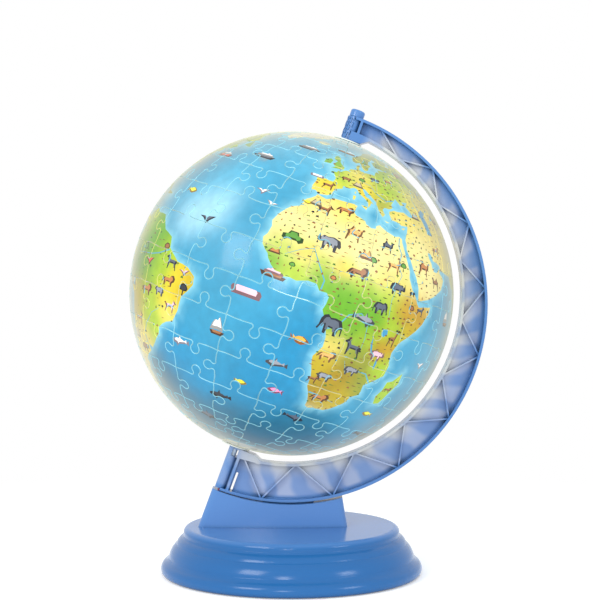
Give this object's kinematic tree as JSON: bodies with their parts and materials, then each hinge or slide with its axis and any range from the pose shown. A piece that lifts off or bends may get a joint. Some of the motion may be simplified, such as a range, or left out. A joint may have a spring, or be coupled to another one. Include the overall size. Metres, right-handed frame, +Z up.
{
  "type": "desktop globe on stand",
  "caption": "Lit jigsaw globe that spins on a tilted axis in a C-shaped ribbed arm on a stepped bell base, with battery lamp and pull-out top pin.",
  "frame": {"origin": "centre of the round face that the base stands on", "axes": "+Z up; +X towards the side where the arm bows out, with the tilted spin axis leaning towards +X at its top; +Y away from the front"},
  "size_m": [0.221, 0.2, 0.2874],
  "materials": {
    "blue_shell": "tinted translucent moulding, glossy",
    "plate_blue": "semi-gloss moulding",
    "grip_rubber": "matte",
    "screw_steel": "zinc plated",
    "cell_jacket": "plain printed sleeve, no marks",
    "contact_metal": "nickel plated",
    "circuit_board": "solder mask",
    "black_plastic": "moulded",
    "lead_sleeve": "wire insulation",
    "lamp_white": "white moulding",
    "led_lens": "clear epoxy",
    "frosted_lens": "frosted diffuser",
    "map_card": "printed translucent jigsaw pieces, satin",
    "cap_clear": "milky moulding"
  },
  "bodies": {
    "stand": {"arm_clamp": "blue_shell", "arm_screws": "screw_steel", "base_bell": "blue_shell", "base_plate": "plate_blue", "base_screws": "screw_steel", "battery_cell_1": "cell_jacket", "battery_cell_2": "cell_jacket", "battery_cell_3": "cell_jacket", "battery_door": "plate_blue", "battery_door_screw": "screw_steel", "battery_lead": "lead_sleeve", "contact_plates": "contact_metal", "contact_springs": "contact_metal", "grip_ring": "grip_rubber", "lamp_board": "circuit_board", "lamp_diffuser": "frosted_lens", "lamp_holder": "lamp_white", "lamp_lead": "lead_sleeve", "lamp_leds": "led_lens", "lamp_stem": "lamp_white", "meridian_arm": "blue_shell", "switch_board": "circuit_board", "switch_body": "black_plastic", "switch_screws": "screw_steel"},
    "globe": {"puzzle_row_01": "map_card", "puzzle_row_02": "map_card", "puzzle_row_03": "map_card", "puzzle_row_04": "map_card", "puzzle_row_05": "map_card", "puzzle_row_06": "map_card", "puzzle_row_07": "map_card", "puzzle_row_08": "map_card", "puzzle_row_09": "map_card", "puzzle_row_10": "map_card", "puzzle_row_11": "map_card", "puzzle_row_12": "map_card", "puzzle_row_13": "map_card", "puzzle_row_14": "map_card", "top_pole_cap": "cap_clear", "bottom_pole_cap": "cap_clear"},
    "top_pin": {"top_pin": "blue_shell"},
    "power_switch": {"switch_knob": "plate_blue"}
  },
  "joints": [
    {"name": "globe_spin", "type": "hinge", "parent": "stand", "child": "globe", "pos_m": [0, 0, 0.173], "axis": [0.3453, 0, 0.9385], "continuous": true},
    {"name": "top_pin_lift", "type": "slide", "parent": "stand", "child": "top_pin", "axis": [0.3453, 0, 0.9385], "range_m": [0, 0.024]},
    {"name": "power_switch_slide", "type": "slide", "parent": "stand", "child": "power_switch", "axis": [1, 0, 0], "range_m": [0, 0.004]}
  ]
}
